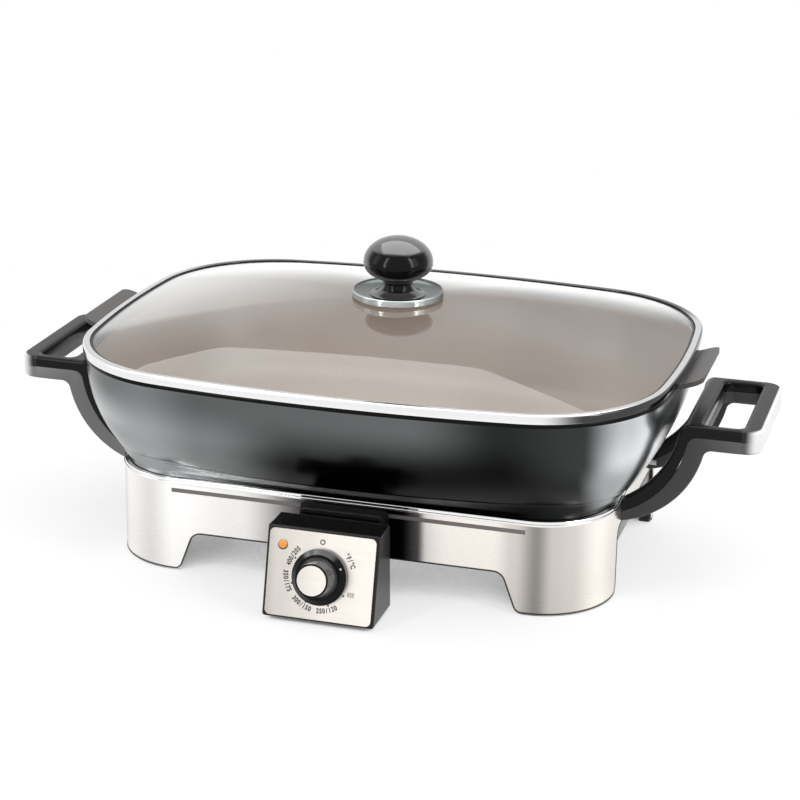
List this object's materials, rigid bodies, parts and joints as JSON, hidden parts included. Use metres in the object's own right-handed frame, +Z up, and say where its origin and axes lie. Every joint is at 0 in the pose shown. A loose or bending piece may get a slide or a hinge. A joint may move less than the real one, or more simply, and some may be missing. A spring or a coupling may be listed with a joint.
{
  "type": "electric_skillet",
  "caption": "Rectangular electric skillet: glass lid with a ball knob, lift-off pan, steel heating base on corner legs with loop handles, and a plug-in dial control",
  "frame": {"origin": "Centre of the bounding box's bottom face, on the table under the feet", "axes": "+X to the right along the long side through both handles, +Z up, and the control and its dial face -Y"},
  "size_m": [0.524, 0.3481, 0.2147],
  "materials": {
    "brushed_apron": "fine brushed, warm grey",
    "bright_trim": "polished",
    "foot_rubber": "matt black",
    "tray_steel": "plain pressed sheet",
    "cast_aluminium": "as cast",
    "screw_steel": "plain zinc",
    "element_sheath": "dark heat-tinted sheath",
    "guard_steel": "plain pressed sheet",
    "ceramic_insulator": "unglazed off-white",
    "pin_brass": "plain turned",
    "handle_matte": "fine matt dark grey",
    "handle_gloss": "gloss black",
    "pan_coated": "glossy grey coat outside, taupe non-stick coat inside",
    "lid_glass": "clear",
    "knob_gloss": "gloss black",
    "collar_steel": "satin",
    "gasket_rubber": "matt",
    "control_gloss": "gloss black",
    "face_metal": "brushed, light",
    "amber_lens": "translucent amber",
    "lamp_glass": "clear",
    "phenolic": "moulded heat-proof plastic",
    "probe_steel": "plain stainless",
    "gland_rubber": "matt black"
  },
  "bodies": {
    "base": {"apron": "brushed_apron", "top_trim": "bright_trim", "foot_pads": "foot_rubber", "tray": "tray_steel", "plate_posts": "cast_aluminium", "tray_screws": "screw_steel", "heater_plate": "cast_aluminium", "heating_element": "element_sheath", "element_clips": "tray_steel", "socket_guard": "guard_steel", "socket_insulator": "ceramic_insulator", "terminal_pins": "pin_brass", "handle_right_body": "handle_matte", "handle_right_cap": "handle_gloss", "handle_right_accent": "bright_trim", "handle_left_body": "handle_matte", "handle_left_cap": "handle_gloss", "handle_left_accent": "bright_trim", "handle_screws": "screw_steel"},
    "pan": {"pan": "pan_coated", "pan_ears": "pan_coated"},
    "lid": {"lid_rim": "bright_trim", "lid_glass": "lid_glass", "lid_knob": "knob_gloss", "knob_collar": "collar_steel", "knob_collar_ring": "bright_trim", "knob_gasket": "gasket_rubber", "knob_washer": "screw_steel", "knob_screw": "screw_steel", "knob_insert": "pin_brass"},
    "control": {"control_bezel": "control_gloss", "control_shell": "control_gloss", "face_plate": "face_metal", "indicator_lens": "amber_lens", "indicator_lamp": "lamp_glass", "plug_block": "phenolic", "plug_contacts": "pin_brass", "probe_tube": "probe_steel", "thermostat_plate": "tray_steel", "contact_blades": "pin_brass", "contact_points": "pin_brass", "contact_stack": "ceramic_insulator", "cord_gland": "gland_rubber", "control_screws": "screw_steel"},
    "dial": {"dial_knob": "knob_gloss", "dial_cap": "face_metal", "dial_shaft": "probe_steel"}
  },
  "joints": [
    {"name": "pan_lift", "type": "slide", "parent": "base", "child": "pan", "axis": [0, 0, 1], "range_m": [0, 0.12]},
    {"name": "lid_lift", "type": "slide", "parent": "pan", "child": "lid", "axis": [0, 0, 1], "range_m": [0, 0.15]},
    {"name": "control_pull", "type": "slide", "parent": "base", "child": "control", "axis": [0, -1, 0], "range_m": [0, 0.09]},
    {"name": "dial_turn", "type": "hinge", "parent": "control", "child": "dial", "pos_m": [0, -0.15378, 0.032], "axis": [0, 0.9703, -0.2418], "range_deg": [-63.5, 234.5]}
  ]
}
